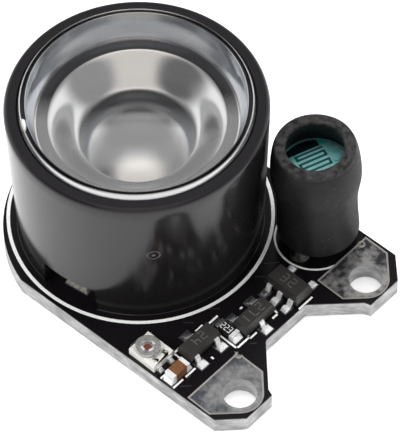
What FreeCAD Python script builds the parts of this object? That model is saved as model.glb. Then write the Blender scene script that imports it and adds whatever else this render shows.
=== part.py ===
import FreeCAD, Part
import math
import os

V = FreeCAD.Vector

# Infrared lamp board. The optical axis is x = y = 0, the bottom face of the board is z = 0,
# the two screw ears point to +X and the light leaves towards +Z. All lengths are millimetres.

# Board: aluminium core under a black circuit layer
core_thick = 1.3
circuit_thick = 0.1
board_top = core_thick + circuit_thick

# Lens holder: drafted tube with a rounded rim, a seat for the lens and two lead notches
holder_high = 12.25
rim = board_top + holder_high
holder_base_r = 8.4
holder_draft = 0.4
holder_top_r = holder_base_r + holder_draft
rim_round = 0.35
rim_wide = 0.86
bore_r = holder_top_r - rim_wide
bore_edge = 0.04
seat_drop = 2.05
seat_wide = 0.89
seat_r = bore_r - seat_wide
seat_thick = 1.2
seat_slope = 0.5
skirt_wall = 0.9
skirt_r = holder_base_r - skirt_wall
lead_notch_wide = 4.1
lead_notch_high = 2.2
lead_notch_round = 0.5
ejector_turn = -40.0
ejector_high = 7.1
ejector_r = 0.42
ejector_inner_r = 0.28
ejector_deep = 0.06

# Board outline: round behind the tube, straight sawn sides, two screw ears with a notch between them.
# The sides are sawn a little askew, and the round end lies off the axis of the tube.
board_rim = 1.05
board_r = holder_base_r + board_rim
board_off_x = 0.47
board_off_y = -0.35
side_cut = 0.45
board_half_y = board_r - side_cut
saw_turn = 1.7
screw_gap = 6.1
screw_x = holder_top_r + screw_gap
screw_side = 2.75
screw_y = board_half_y - screw_side
screw_hole_r = 1.155
ear_reach = 1.65
ear_tip_x = screw_x + ear_reach
ear_chamfer = 1.5
saw_back = 4.4
saw_cross_x = ear_tip_x - saw_back
ear_inner = 1.33
ear_inner_y = screw_y - ear_inner
knee_back = 0.47
knee_x = ear_tip_x - knee_back
knee_drop = 0.17
knee_y = ear_inner_y - knee_drop
notch_deep = 3.25
notch_floor_x = ear_tip_x - notch_deep
notch_floor_y = knee_y - (knee_x - notch_floor_x)
notch_round = 0.5

# Tinned pads round the screw holes
pad_back = 2.32
pad_inner_x = screw_x - pad_back
pad_near = 2.3
pad_near_y = screw_y - pad_near
pad_edge = 0.15
pad_far_y = board_half_y - pad_edge
pad_ring_wide = 0.445
pad_ring_r = screw_hole_r + pad_ring_wide
pad_proud = 0.03
via_r = 0.15
via_in = 0.2
via_x = pad_inner_x + via_in
via_left_drop = 0.82
via_left_y = board_half_y - via_left_drop
via_right_lift = 0.12
via_right_y = -pad_near_y - via_right_lift

# Lens: edge ring, groove, steep wall, flat step and a bowl with a domed floor above, cone and emitter
# cavity below
lens_clear = 0.06
lens_r = bore_r - lens_clear
ring_high = 0.35
ring_top = rim + ring_high
ring_slope = 0.17
ring_crest_r = lens_r - ring_slope
ring_wide = 0.24
ring_r = lens_r - ring_wide
ring_crest_in = 0.04
groove_wide = 0.12
brink_r = ring_r - groove_wide
brink_drop = 0.1
brink_z = ring_top - brink_drop
brink_wide = 0.05
groove_deep = 0.4
wall_run = 0.66
wall_foot_r = brink_r - brink_wide - wall_run
wall_foot_rise = 0.12
step_edge = 0.12
step_outer_r = wall_foot_r - step_edge
step_wide = 0.82
step_r = step_outer_r - step_wide
step_drop = 1.75
step_z = rim - step_drop
valley_run = 2.05
crease_r = step_r - valley_run
crease_drop = 1.7
crease_z = step_z - crease_drop
dome_high = 1.05
valley_sag = 0.24
seat_clear = 0.05
cone_top_r = seat_r - seat_clear
cone_low_r = 3.6
cone_swell = 0.3
cavity_r = 3.1
cavity_top_r = 2.95
cavity_wall_high = 6.9
cavity_crown_high = 6.4
lens_gap = 0.15

# Drop of glue in the groove of the lens
glue_turn = 236.0
glue_spread = 7.0
glue_proud = 0.04

# Emitter under the lens
led_turn = -81.6
slug_r = 3.0
slug_high = 1.2
led_body_r = 4.0
led_body_lift = 0.1
led_body_high = 2.1
led_body_edge = 0.2
led_dome_r = 2.8
led_dome_wall = 0.7
die_size = 1.1
die_thick = 0.15
led_lead_end = 0.25
led_lead_reach = skirt_r - led_lead_end
led_lead_wide = 1.3
led_lead_thick = 0.3
led_lead_lift = 0.8
led_lead_sink = 0.2
led_lead_bend = 5.4
led_lead_heel = 5.8
led_land_start = 0.1
led_land_in = led_lead_heel + led_land_start
led_land_past = 0.1
led_land_out = skirt_r + led_land_past
led_land_wide = 1.9
led_solder_high = 0.42

# Sleeve profile, heights above the board with the outer radius there, then the inner one
sleeve_low = 1.55
sleeve_low_r = 2.87
sleeve_neck = 3.4
sleeve_neck_r = 2.79
sleeve_waist = 5.1
sleeve_waist_r = 2.78
sleeve_bulge = 7.5
sleeve_bulge_r = 3.05
sleeve_shoulder = 9.4
sleeve_shoulder_r = 2.9
sleeve_rim = 10.3
sleeve_rim_r = 2.66
sleeve_mouth_r = 1.91
sleeve_lip_low = 9.85
sleeve_lip_inner_r = 2.07
sleeve_skin = 0.45
sleeve_shoulder_bow = 0.07

# Light sensor: ceramic disc on two wires inside a shrunk sleeve that stands beside the tube
sleeve_gap = 0.11
sensor_side = 2.5
sensor_y = board_half_y - sensor_side
sensor_reach = holder_top_r + sleeve_gap + sleeve_bulge_r
sensor_x = math.sqrt(sensor_reach ** 2 - sensor_y ** 2)
sensor_r = 2.55
sensor_thick = 2.1
sensor_high = 7.8
sensor_face = board_top + sensor_high
sensor_lean = 2.0
sensor_lean_turn = 223.0
film_r = 2.35
film_thick = 0.04
finger_turn = 61.6
finger_pitch = 0.72
finger_count = 4
finger_reach = 1.2
track_wide = 0.17
wire_r = 0.25
wire_dot_r = 0.32
wire_dot_high = 0.07
wire_foot_x = 0.25
wire_foot_y = -1.7
wire_head_x = -0.42
wire_head_y = -1.56
wire_land_r = 0.7
wire_solder_r = 0.34
wire_solder_high = 0.55

# Leads and cases of the small moulded parts
case_long = 2.9
lead_pitch = 0.95
lead_wide = 0.4
lead_thick = 0.13
lead_sink = 0.12
lead_out = 0.1
lead_heel = 0.12
lead_foot = 0.3
lead_exit = 0.5
case_lift = 0.1
case_low_inset = 0.06
case_top_inset = 0.15
transistor_wide = 1.3
transistor_high = 1.0
transistor_span = 2.4
driver_wide = 1.6
driver_high = 1.1
driver_span = 2.8
land_in = 0.6
land_out = 0.3
transistor_land_wide = 0.85
driver_land_wide = 0.6
solder_margin = 0.03
solder_high = 0.24
solder_top = 0.06

transistor_a_y = -5.31
transistor_b_y = -1.31
driver_y = 2.1
transistor_a_gap = 1.57
transistor_a_at = (holder_top_r + transistor_a_gap, transistor_a_y)
transistor_b_gap = 2.83
transistor_b_at = (holder_top_r + transistor_b_gap, transistor_b_y)
driver_gap = 2.86
driver_at = (holder_top_r + driver_gap, driver_y)
half_turn = 180.0
quarter_turn = 90.0
# Each lead leaves its case at this angle, at this distance from the middle of the side
transistor_a_side = [(0, lead_pitch), (0, -lead_pitch), (half_turn, 0)]
transistor_b_side = [(0, 0), (half_turn, lead_pitch), (half_turn, -lead_pitch)]
driver_side = [(-quarter_turn, -lead_pitch), (-quarter_turn, 0), (-quarter_turn, lead_pitch)]
driver_side += [(quarter_turn, -lead_pitch), (quarter_turn, lead_pitch)]

# Chip parts: two terminals round a ceramic block
chip_long = 1.6
chip_wide = 0.8
chip_end = 0.3
chip_wrap = 0.04
chip_land_in = 0.4
chip_land_wide = 0.92
resistor_gap = 2.14
resistor_y = -3.2
resistor_at = (holder_top_r + resistor_gap, resistor_y)
resistor_turn = 0
resistor_high = 0.45
resistor_land_out = 0.36
resistor_solder_high = 0.36
capacitor_gap = 2.02
capacitor_side = 1.1
capacitor_at = (holder_top_r + capacitor_gap, capacitor_side - board_half_y)
capacitor_turn = quarter_turn
capacitor_high = 0.8
capacitor_land_out = 0.26
capacitor_solder_high = 0.5

# Trimmer: flat ceramic base, plate with an upright edge, rotor with a cross slot
trimmer_back = 0.32
trimmer_side = 1.05
trimmer_at = (holder_top_r - trimmer_back, trimmer_side - board_half_y)
trimmer_long = 2.3
trimmer_wide = 1.9
trimmer_high = 0.6
rotor_off = -0.3
rotor_r = 0.88
rotor_thick = 0.16
rotor_bevel = 0.06
rotor_hole_r = 0.33
rotor_slot_wide = 0.26
rotor_slot_reach = 0.66
rotor_slot_deep = 0.09
rotor_slot_turn = 30.8
plate_thick = 0.05
plate_r = 0.84
plate_gap = 0.02
plate_edge_thick = 0.08
plate_edge_long = 1.1
plate_edge_high = 0.24
plate_tab_wide = 0.7
pivot_floor = 0.47
pivot_thick = 0.08
recess_deep = 0.12
recess_line = 0.12
recess_long = 0.36
recess_x = 0.75
recess_y = 0.3
terminal_thick = 0.1
terminal_high = 0.4
terminal_wide = 0.45
terminal_y = 0.5
terminal_back_wide = 0.9
terminal_land_out = 0.4
terminal_land_in = 0.12
terminal_solder_high = 0.3

margin = 0.05
full_turn = 2 * half_turn
bow_parts = (0.25, 0.5, 0.75)


def flat(a, b):
    return V(a, b, 0)


def upright(a, b):
    return V(a, 0, b)


def sideways(a, b):
    return V(0, a, b)


def face(points, plane):
    """Closed face. A point may carry further pairs: one makes an arc through it, more a smooth curve."""
    edges = []
    for start, end in zip([points[-1]] + points[:-1], points):
        first = plane(start[0], start[1])
        last = plane(end[0], end[1])
        rest = [plane(*end[k:k + 2]) for k in range(2, len(end), 2)]
        if len(rest) == 1:
            edges.append(Part.Arc(first, rest[0], last).toShape())
        elif rest:
            curve = Part.BSplineCurve()
            curve.interpolate([first] + rest + [last])
            edges.append(curve.toShape())
        else:
            edges.append(Part.makeLine(first, last))
    return Part.Face(Part.Wire(edges))


def slab(points, low, high):
    shape = face(points, flat)
    shape.translate(V(0, 0, low))
    return shape.extrude(V(0, 0, high - low))


def turned(points):
    return face(points, upright).revolve(V(0, 0, 0), V(0, 0, 1), full_turn)


def box(x0, x1, y0, y1, z0, z1):
    return Part.makeBox(x1 - x0, y1 - y0, z1 - z0, V(x0, y0, z0))


def rod(x, y, r, z0, z1):
    return Part.makeCylinder(r, z1 - z0, V(x, y, z0))


def place(shape, at, turn=0):
    shape.rotate(V(0, 0, 0), V(0, 0, 1), turn)
    shape.translate(V(at[0], at[1], 0))
    return shape


def frustum(low, low_z, high, high_z):
    """Solid between two rectangles, each given as x0, x1, y0, y1."""
    wires = []
    for (x0, x1, y0, y1), z in ((low, low_z), (high, high_z)):
        corners = [(x0, y0), (x1, y0), (x1, y1), (x0, y1), (x0, y0)]
        wires.append(Part.makePolygon([V(x, y, z) for x, y in corners]))
    return Part.makeLoft(wires, True, True)


def cut(shape, tools):
    for tool in tools:
        shape = shape.cut(tool)
    return shape


def joined(shapes):
    return Part.makeCompound(shapes)


def rounded(before, corner, after, r):
    """Two outline points that round a corner with radius r: the arc's start, then its end."""
    corner = flat(*corner)
    one = (flat(*before) - corner).normalize()
    two = (flat(*after) - corner).normalize()
    half = one.getAngle(two) / 2
    start = corner + one * (r / math.tan(half))
    end = corner + two * (r / math.tan(half))
    middle = corner + (one + two).normalize() * (r / math.sin(half) - r)
    return [(start.x, start.y), (end.x, end.y, middle.x, middle.y)]


def bowed(start, end, sag):
    """Smooth curve to an end point that leaves its chord, on the right hand, by sag in the middle."""
    run, rise = end[0] - start[0], end[1] - start[1]
    pairs = []
    for part in bow_parts:
        off = sag * part * (1 - part) / (bow_parts[1] ** 2 * math.hypot(run, rise))
        pairs += [start[0] + run * part + rise * off, start[1] + rise * part - run * off]
    return (end[0], end[1], *pairs)


def cap_middle(r, high):
    """Height of a round cap's edge at half its radius, above the cap's edge plane."""
    curve_r = (r ** 2 + high ** 2) / (2 * high)
    return high - curve_r + math.sqrt(curve_r ** 2 - (r / 2) ** 2)


# Board

def round_corner(side):
    """Corner between the round end and the sawn side on -Y or +Y."""
    turn = math.radians(saw_turn)
    off = (board_off_x - saw_cross_x) * math.sin(turn) - board_off_y * math.cos(turn)
    gap = side * board_half_y + off
    back = math.sqrt(board_r ** 2 - gap ** 2)
    x = board_off_x - back * math.cos(turn) - gap * math.sin(turn)
    return x, board_off_y - back * math.sin(turn) + gap * math.cos(turn)


def sawn_corner(side, x, inset):
    """Corner of an ear at x, set in from its sawn side."""
    return x, side * (board_half_y - inset) + (x - saw_cross_x) * math.tan(math.radians(saw_turn))


def outline():
    ear_x = ear_tip_x - ear_chamfer
    low_knee = (knee_x, -knee_y)
    low_floor = (notch_floor_x, -notch_floor_y)
    high_floor = (notch_floor_x, notch_floor_y)
    high_knee = (knee_x, knee_y)
    points = [(*round_corner(-1), board_off_x - board_r, board_off_y)]
    points += [sawn_corner(-1, ear_x, 0), sawn_corner(-1, ear_tip_x, ear_chamfer)]
    points += [(ear_tip_x, -ear_inner_y), low_knee]
    points += rounded(low_knee, low_floor, high_floor, notch_round)
    points += rounded(low_floor, high_floor, high_knee, notch_round)
    points += [high_knee, (ear_tip_x, ear_inner_y)]
    points += [sawn_corner(1, ear_tip_x, ear_chamfer), sawn_corner(1, ear_x, 0)]
    return points + [round_corner(1)]


def screw_holes(r):
    return [rod(screw_x, side * screw_y, r, -margin, board_top + margin) for side in (-1, 1)]


def board_core():
    return cut(slab(outline(), 0, core_thick), screw_holes(screw_hole_r))


def screw_pad_blank(side):
    reach = pad_ring_r * math.sqrt(0.5)
    near_x = screw_x + reach - (screw_y - reach - pad_near_y)
    far_x = screw_x + reach - (pad_far_y - screw_y - reach)
    points = [(pad_inner_x, side * pad_near_y), (near_x, side * pad_near_y)]
    points += [(screw_x + reach, side * (screw_y - reach))]
    points += [(screw_x + reach, side * (screw_y + reach), screw_x + pad_ring_r, side * screw_y)]
    points += [(far_x, side * pad_far_y), (pad_inner_x, side * pad_far_y)]
    return slab(points, core_thick, board_top + pad_proud)


def screw_pad(side, via_y):
    tools = screw_holes(screw_hole_r) + [rod(via_x, via_y, via_r, 0, board_top + margin)]
    return cut(screw_pad_blank(side), tools)


# Tinned lands, flush with the circuit layer

def land(u0, u1, half_wide):
    return box(u0, u1, -half_wide, half_wide, core_thick, board_top)


def lead_lands(at, span, wide, sides):
    lands = []
    for turn, offset in sides:
        tip = span / 2
        one = land(tip - land_in, tip + land_out, wide / 2)
        one.translate(V(0, offset, 0))
        lands.append(place(one, at, turn))
    return lands


def chip_lands(at, turn, out):
    half = chip_long / 2
    lands = []
    for end in (0, half_turn):
        one = land(half - chip_land_in, half + out, chip_land_wide / 2)
        lands.append(place(one, at, turn + end))
    return lands


def trimmer_lands():
    half = trimmer_long / 2
    lands = []
    for turn, y, wide in terminal_places():
        one = land(half - terminal_land_in, half + terminal_land_out, wide / 2)
        one.translate(V(0, y, 0))
        lands.append(place(one, trimmer_at, turn))
    return lands


def sensor_lands():
    x, y = wire_foot_x, wire_foot_y
    spots = [(sensor_x + side * x, sensor_y + side * y) for side in (-1, 1)]
    return [rod(spot[0], spot[1], wire_land_r, core_thick, board_top) for spot in spots]


def led_lands():
    lands = [rod(0, 0, slug_r, core_thick, board_top)]
    for turn in (led_turn, led_turn + half_turn):
        lands.append(place(land(led_land_in, led_land_out, led_land_wide / 2), (0, 0), turn))
    return lands


def component_lands():
    lands = lead_lands(transistor_a_at, transistor_span, transistor_land_wide, transistor_a_side)
    lands += lead_lands(transistor_b_at, transistor_span, transistor_land_wide, transistor_b_side)
    lands += lead_lands(driver_at, driver_span, driver_land_wide, driver_side)
    lands += chip_lands(resistor_at, resistor_turn, resistor_land_out)
    lands += chip_lands(capacitor_at, capacitor_turn, capacitor_land_out)
    return lands + trimmer_lands() + sensor_lands() + led_lands()


def circuit_layer(lands):
    layer = slab(outline(), core_thick, board_top)
    tools = screw_holes(screw_hole_r) + [screw_pad_blank(side) for side in (-1, 1)] + lands
    return cut(layer, tools)


# Lens holder

def holder_blank():
    seat = rim - seat_drop
    seat_low = seat - seat_thick
    points = [(skirt_r, board_top), (holder_base_r, board_top), (holder_top_r, rim - rim_round)]
    points += rounded((holder_top_r, board_top), (holder_top_r, rim), (bore_r, rim), rim_round)[1:]
    points += [(bore_r + bore_edge, rim), (bore_r, rim - bore_edge), (bore_r, seat)]
    points += [(seat_r, seat), (seat_r, seat_low), (skirt_r, seat_low - seat_slope)]
    return turned(points)


def lead_notch():
    half = lead_notch_wide / 2
    high = board_top + lead_notch_high
    low = board_top - margin
    left = rounded((half, low), (half, high), (-half, high), lead_notch_round)
    right = rounded((half, high), (-half, high), (-half, low), lead_notch_round)
    shape = face([(-half, low), (half, low)] + left + right, sideways)
    shape.translate(V(-holder_top_r, 0, 0))
    return place(shape.extrude(V(2 * holder_top_r, 0, 0)), (0, 0), led_turn)


def ejector_mark():
    at_z = board_top + ejector_high
    surface = holder_base_r + holder_draft * ejector_high / (holder_high - rim_round)
    start = V(surface - ejector_deep, 0, at_z)
    out = V(1, 0, 0)
    ring = Part.makeCylinder(ejector_r, ejector_r, start, out)
    ring = ring.cut(Part.makeCylinder(ejector_inner_r, ejector_r, start, out))
    return place(ring, (0, 0), ejector_turn)


def lens_holder():
    return cut(holder_blank(), [lead_notch(), ejector_mark()])


# Lens: the outline turned about the optical axis carries the bowl, the dome, the flange that sits
# in the tube, the reflecting cone and the cavity over the emitter

def lens_front():
    crease = (crease_r, crease_z)
    dome_middle = crease_z + cap_middle(crease_r, dome_high)
    wall_foot = (wall_foot_r, step_z + wall_foot_rise)
    points = [(0, crease_z + dome_high), (*crease, crease_r / 2, dome_middle)]
    points += [bowed(crease, (step_r, step_z), valley_sag), (step_outer_r, step_z), wall_foot]
    points += [(brink_r - brink_wide, brink_z), (brink_r, brink_z), (brink_r, brink_z - groove_deep)]
    points += [(ring_r, brink_z - groove_deep), (ring_r, brink_z), (ring_r + ring_crest_in, ring_top)]
    return points + [(ring_crest_r, ring_top), (lens_r, rim)]


def lens():
    cone_top = (cone_top_r, rim - seat_drop)
    cone_low = (cone_low_r, board_top + led_body_lift + led_body_high + lens_gap)
    wall_top = board_top + cavity_wall_high
    crown = board_top + cavity_crown_high
    crown_middle = wall_top - cap_middle(cavity_top_r, wall_top - crown)
    points = [(0, crown, cavity_top_r / 2, crown_middle)] + lens_front() + [(lens_r, cone_top[1])]
    points += [cone_top, bowed(cone_top, cone_low, -cone_swell)]
    points += [(cavity_r, cone_low[1]), (cavity_top_r, wall_top)]
    return turned(points)


def lens_glue():
    low = brink_z - groove_deep
    high = brink_z + glue_proud
    points = [(brink_r, low), (ring_r, low), (ring_r, brink_z), (ring_r, high), (brink_r, high)]
    shape = face(points, upright).revolve(V(0, 0, 0), V(0, 0, 1), glue_spread)
    return place(shape, (0, 0), glue_turn - glue_spread / 2)


# Emitter

def led_lead(turn):
    low = board_top
    high = board_top + led_lead_lift
    tip = led_lead_reach
    start = led_body_r - led_lead_sink
    points = [(start, high), (led_lead_bend, high), (led_lead_heel, low), (tip, low)]
    points += [(tip, low + led_lead_thick), (led_lead_heel + led_lead_thick / 2, low + led_lead_thick)]
    points += [(led_lead_bend + led_lead_thick / 2, high + led_lead_thick), (start, high + led_lead_thick)]
    shape = face(points, upright)
    shape.translate(V(0, -led_lead_wide / 2, 0))
    return place(shape.extrude(V(0, led_lead_wide, 0)), (0, 0), turn)


def led_body(leads):
    low = board_top + led_body_lift
    high = low + led_body_high
    step = board_top + slug_high
    points = [(slug_r, low), (led_body_r, low), (led_body_r, high - led_body_edge)]
    points += [(led_body_r - led_body_edge, high), (led_dome_r, high), (led_dome_r, step), (slug_r, step)]
    return cut(turned(points), leads)


def led_die():
    half = die_size / 2
    low = board_top + slug_high
    return place(box(-half, half, -half, half, low, low + die_thick), (0, 0), led_turn)


def led_dome(die):
    low = board_top + slug_high
    wall = low + led_dome_wall
    top = wall + led_dome_r
    reach = led_dome_r * math.sqrt(0.5)
    points = [(0, low), (led_dome_r, low), (led_dome_r, wall), (0, top, reach, wall + reach)]
    return turned(points).cut(die)


# Light sensor and its sleeve

def leaned(shape):
    """Tips a piece of the sensor towards the tube, about the middle of its face."""
    turn = math.radians(sensor_lean_turn)
    line = V(-math.sin(turn), math.cos(turn), 0)
    shape.rotate(V(sensor_x, sensor_y, sensor_face), line, sensor_lean)
    return shape


def sensor_place(shape):
    return leaned(place(shape, (sensor_x, sensor_y), finger_turn))


def track():
    """Zigzag strip between the two comb shaped films."""
    low = sensor_face
    high = sensor_face + film_thick
    half = track_wide / 2
    first = -finger_pitch * (finger_count - 1) / 2
    lines = [first + finger_pitch * k for k in range(finger_count)]
    strip = box(-finger_reach, finger_reach, lines[0] - half, lines[0] + half, low, high)
    end = finger_reach
    for one, two in zip(lines, lines[1:]):
        strip = strip.fuse(box(end - half, end + half, one - half, two + half, low, high))
        strip = strip.fuse(box(-finger_reach, finger_reach, two - half, two + half, low, high))
        end = -end
    for line, side in ((lines[0], -1), (lines[-1], math.copysign(1, end))):
        x0, x1 = sorted((side * finger_reach, side * film_r))
        strip = strip.fuse(box(x0, x1, line - half, line + half, low, high))
    return strip


def sensor_leads():
    leads = []
    film_face = sensor_face + film_thick
    above = rod(sensor_x, sensor_y, 2 * sensor_r, board_top, film_face + sensor_r)
    for side in (-1, 1):
        foot = V(sensor_x + side * wire_foot_x, sensor_y + side * wire_foot_y, board_top)
        head = V(sensor_x + side * wire_head_x, sensor_y + side * wire_head_y, sensor_face)
        dot = leaned(rod(head.x, head.y, wire_dot_r, film_face, film_face + wire_dot_high))
        line = leaned(Part.Vertex(head)).Point - foot
        wire = Part.makeCylinder(wire_r, line.Length + 2 * wire_r, foot - line.normalize() * wire_r, line)
        keep = leaned(rod(sensor_x, sensor_y, sensor_r, 0, film_face)).common(above)
        leads.append(wire.common(keep).fuse(dot))
    return leads


def sleeve():
    low = board_top + sleeve_low
    top = board_top + sleeve_rim
    neck = board_top + sleeve_neck
    waist = board_top + sleeve_waist
    bulge = board_top + sleeve_bulge
    shoulder = board_top + sleeve_shoulder
    lip = board_top + sleeve_lip_low
    disc_low = sensor_face - sensor_thick
    outer = [(sleeve_low_r - sleeve_skin, low), (sleeve_low_r, low)]
    curve = (sleeve_neck_r, neck, sleeve_waist_r, waist, sleeve_bulge_r, bulge)
    outer += [(sleeve_shoulder_r, shoulder, *curve)]
    outer += [bowed((sleeve_shoulder_r, shoulder), (sleeve_rim_r, top), sleeve_shoulder_bow)]
    mouth_middle = (top + lip) / 2 + margin
    inner = [(sleeve_mouth_r + margin, top), (sleeve_lip_inner_r, lip, sleeve_mouth_r, mouth_middle)]
    inner += [(sensor_r, sensor_face), (sensor_r, disc_low)]
    inner += [(sleeve_waist_r - sleeve_skin, waist), (sleeve_neck_r - sleeve_skin, neck)]
    return leaned(place(turned(outer + inner), (sensor_x, sensor_y)))


# Moulded parts with bent leads

def bent_lead(half_case, half_span):
    low = board_top
    exit_low = board_top + lead_exit - lead_thick / 2
    exit_high = exit_low + lead_thick
    inner = half_case - lead_sink
    bend = half_case + lead_out
    heel = half_span - lead_foot
    points = [(inner, exit_low), (bend - lead_heel, exit_low), (heel - lead_heel, low), (half_span, low)]
    points += [(half_span, low + lead_thick), (heel, low + lead_thick)]
    points += [(bend, exit_high), (inner, exit_high)]
    shape = face(points, upright)
    shape.translate(V(0, -lead_wide / 2, 0))
    return shape.extrude(V(0, lead_wide, 0))


def all_leads(at, case, span, sides):
    leads = []
    for turn, offset in sides:
        lead = bent_lead(case / 2, span / 2)
        lead.translate(V(0, offset, 0))
        leads.append(place(lead, at, turn))
    return leads


def moulded_case(at, long_x, long_y, high, leads):
    def size(inset):
        return (inset - long_x / 2, long_x / 2 - inset, inset - long_y / 2, long_y / 2 - inset)
    low_z = board_top + case_lift
    waist_z = board_top + lead_exit
    lower = frustum(size(case_low_inset), low_z, size(0), waist_z)
    upper = frustum(size(0), waist_z, size(case_top_inset), board_top + high)
    return cut(place(lower.fuse(upper), at), leads)


def lead_solder(at, span, wide, sides, others):
    lumps = []
    tip = span / 2
    half = wide / 2 - solder_margin
    top_half = lead_wide / 2 + solder_top
    low = (tip - lead_foot, tip + land_out - solder_margin, -half, half)
    high = (tip - lead_foot + solder_top, tip + solder_top, -top_half, top_half)
    for turn, offset in sides:
        lump = frustum(low, board_top, high, board_top + solder_high)
        lump.translate(V(0, offset, 0))
        lumps.append(cut(place(lump, at, turn), others))
    return lumps


# Chip parts

def chip(at, turn, high):
    half = chip_long / 2
    side = chip_wide / 2
    low = board_top
    middle = half - chip_end
    block = box(-middle, middle, -side, side, low, low + high)
    core = box(-half + chip_wrap, half - chip_wrap, -side + chip_wrap, side - chip_wrap,
               low + chip_wrap, low + high - chip_wrap)
    body = block.fuse(core)
    whole = box(-half, half, -side, side, low, low + high)
    ends = whole.cut(body).Solids
    return place(body, at, turn), [place(end, at, turn) for end in ends], place(whole, at, turn)


def chip_solder(at, turn, out, high, whole):
    half = chip_long / 2
    lumps = []
    side = chip_land_wide / 2 - solder_margin
    low = (half - chip_wrap, half + out - solder_margin, -side, side)
    top = (half - chip_wrap, half + solder_top, -side + solder_top, side - solder_top)
    for end in (0, half_turn):
        lump = frustum(low, board_top, top, board_top + high)
        lumps.append(place(lump, at, turn + end).cut(whole))
    return lumps


# Trimmer

def terminal_places():
    right = [(0, terminal_y, terminal_wide), (0, -terminal_y, terminal_wide)]
    return right + [(half_turn, 0, terminal_back_wide)]


def trimmer_place(shape):
    return place(shape, trimmer_at)


def recesses():
    """Two bent recesses beside the upright edge of the plate."""
    low = board_top + trimmer_high - recess_deep
    high = board_top + trimmer_high + margin
    tools = []
    for side in (-1, 1):
        x, y = recess_x, side * recess_y
        far = y + side * recess_long
        tools.append(box(x, x + recess_line, min(y, far), max(y, far), low, high))
        tools.append(box(x, x + recess_long, min(y, y + side * recess_line), max(y, y + side * recess_line),
                         low, high))
    return tools


def trimmer_base():
    half = trimmer_long / 2
    side = trimmer_wide / 2
    low = board_top
    shape = box(-half, half, -side, side, low, low + trimmer_high)
    well = rod(rotor_off, 0, rotor_hole_r, low + pivot_floor - pivot_thick, low + trimmer_high + margin)
    return trimmer_place(cut(shape, recesses() + [well]))


def trimmer_pivot():
    low = board_top + pivot_floor - pivot_thick
    return trimmer_place(rod(rotor_off, 0, rotor_hole_r, low, low + pivot_thick))


def trimmer_plate():
    low = board_top + trimmer_high
    edge_x = rotor_off + rotor_r + plate_gap
    shape = rod(rotor_off, 0, plate_r, low, low + plate_thick)
    shape = shape.cut(rod(rotor_off, 0, rotor_hole_r, low - margin, low + plate_thick + margin))
    half = plate_tab_wide / 2
    bridge = box(rotor_off + plate_r / 2, edge_x + plate_edge_thick, -half, half, low, low + plate_thick)
    shape = shape.fuse(bridge)
    half = plate_edge_long / 2
    shape = shape.fuse(box(edge_x, edge_x + plate_edge_thick, -half, half, low, low + plate_edge_high))
    return trimmer_place(shape)


def trimmer_rotor():
    low = board_top + trimmer_high + plate_thick
    high = low + rotor_thick
    points = [(rotor_hole_r, low), (rotor_r, low), (rotor_r, high - rotor_bevel)]
    points += [(rotor_r - rotor_bevel, high), (rotor_hole_r, high)]
    shape = turned(points)
    half = rotor_slot_wide / 2
    for turn in (0, quarter_turn):
        slot = box(-rotor_slot_reach, rotor_slot_reach, -half, half, high - rotor_slot_deep, high + margin)
        shape = shape.cut(place(slot, (0, 0), turn + rotor_slot_turn))
    shape.translate(V(rotor_off, 0, 0))
    return trimmer_place(shape)


def trimmer_terminals():
    half = trimmer_long / 2
    shapes = []
    for turn, y, wide in terminal_places():
        low, high = y - wide / 2, y + wide / 2
        one = box(half, half + terminal_thick, low, high, board_top, board_top + terminal_high)
        shapes.append(place(one, trimmer_at, turn))
    return shapes


def trimmer_solder():
    half = trimmer_long / 2 + terminal_thick
    reach = trimmer_long / 2 + terminal_land_out - solder_margin
    lumps = []
    for turn, y, wide in terminal_places():
        side = wide / 2 - solder_margin
        low = (half, reach, y - side, y + side)
        high = (half, half + solder_top, y - side + solder_top, y + side - solder_top)
        lump = frustum(low, board_top, high, board_top + terminal_solder_high)
        lumps.append(place(lump, trimmer_at, turn))
    return lumps


# Solder of the sensor wires and the emitter leads

def sensor_solder(leads):
    lumps = []
    for side in (-1, 1):
        x = sensor_x + side * wire_foot_x
        y = sensor_y + side * wire_foot_y
        foot_r = wire_land_r - solder_margin
        cone = Part.makeCone(foot_r, wire_solder_r, wire_solder_high, V(x, y, board_top))
        lumps.append(cut(cone, leads))
    return lumps


def led_solder(leads):
    half = led_land_wide / 2 - solder_margin
    top_half = led_lead_wide / 2 + solder_top
    tip = led_lead_reach
    low = (led_lead_heel + led_lead_thick, led_land_out - solder_margin, -half, half)
    high = (led_lead_heel + 2 * led_lead_thick, tip + solder_top, -top_half, top_half)
    lumps = []
    for turn in (led_turn, led_turn + half_turn):
        lump = frustum(low, board_top, high, board_top + led_solder_high)
        lumps.append(cut(place(lump, (0, 0), turn), leads))
    return lumps


def board_nodes():
    lands = component_lands()
    return {
        "board_core": board_core(),
        "circuit_layer": circuit_layer(lands),
        "screw_pad_left": screw_pad(1, via_left_y),
        "screw_pad_right": screw_pad(-1, via_right_y),
        "component_lands": joined(lands),
    }


def lamp_nodes():
    leads = [led_lead(led_turn), led_lead(led_turn + half_turn)]
    die = led_die()
    return {
        "lens_holder": lens_holder(),
        "lens": lens(),
        "lens_glue": lens_glue(),
        "led_slug": rod(0, 0, slug_r, board_top, board_top + slug_high),
        "led_body": led_body(leads),
        "led_dome": led_dome(die),
        "led_die": die,
        "led_lead_front": leads[0],
        "led_lead_back": leads[1],
        "solder_led": joined(led_solder(leads)),
    }


def sensor_nodes():
    leads = sensor_leads()
    strip = sensor_place(track())
    film = leaned(rod(sensor_x, sensor_y, film_r, sensor_face, sensor_face + film_thick))
    disc = leaned(rod(sensor_x, sensor_y, sensor_r, sensor_face - sensor_thick, sensor_face))
    return {
        "photoresistor_body": cut(disc, leads),
        "photoresistor_track": cut(strip.common(film), leads),
        "photoresistor_electrodes": cut(film, leads + [strip]),
        "photoresistor_leads": joined(leads),
        "photoresistor_sleeve": sleeve(),
        "solder_photoresistor": joined(sensor_solder(leads)),
    }


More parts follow.
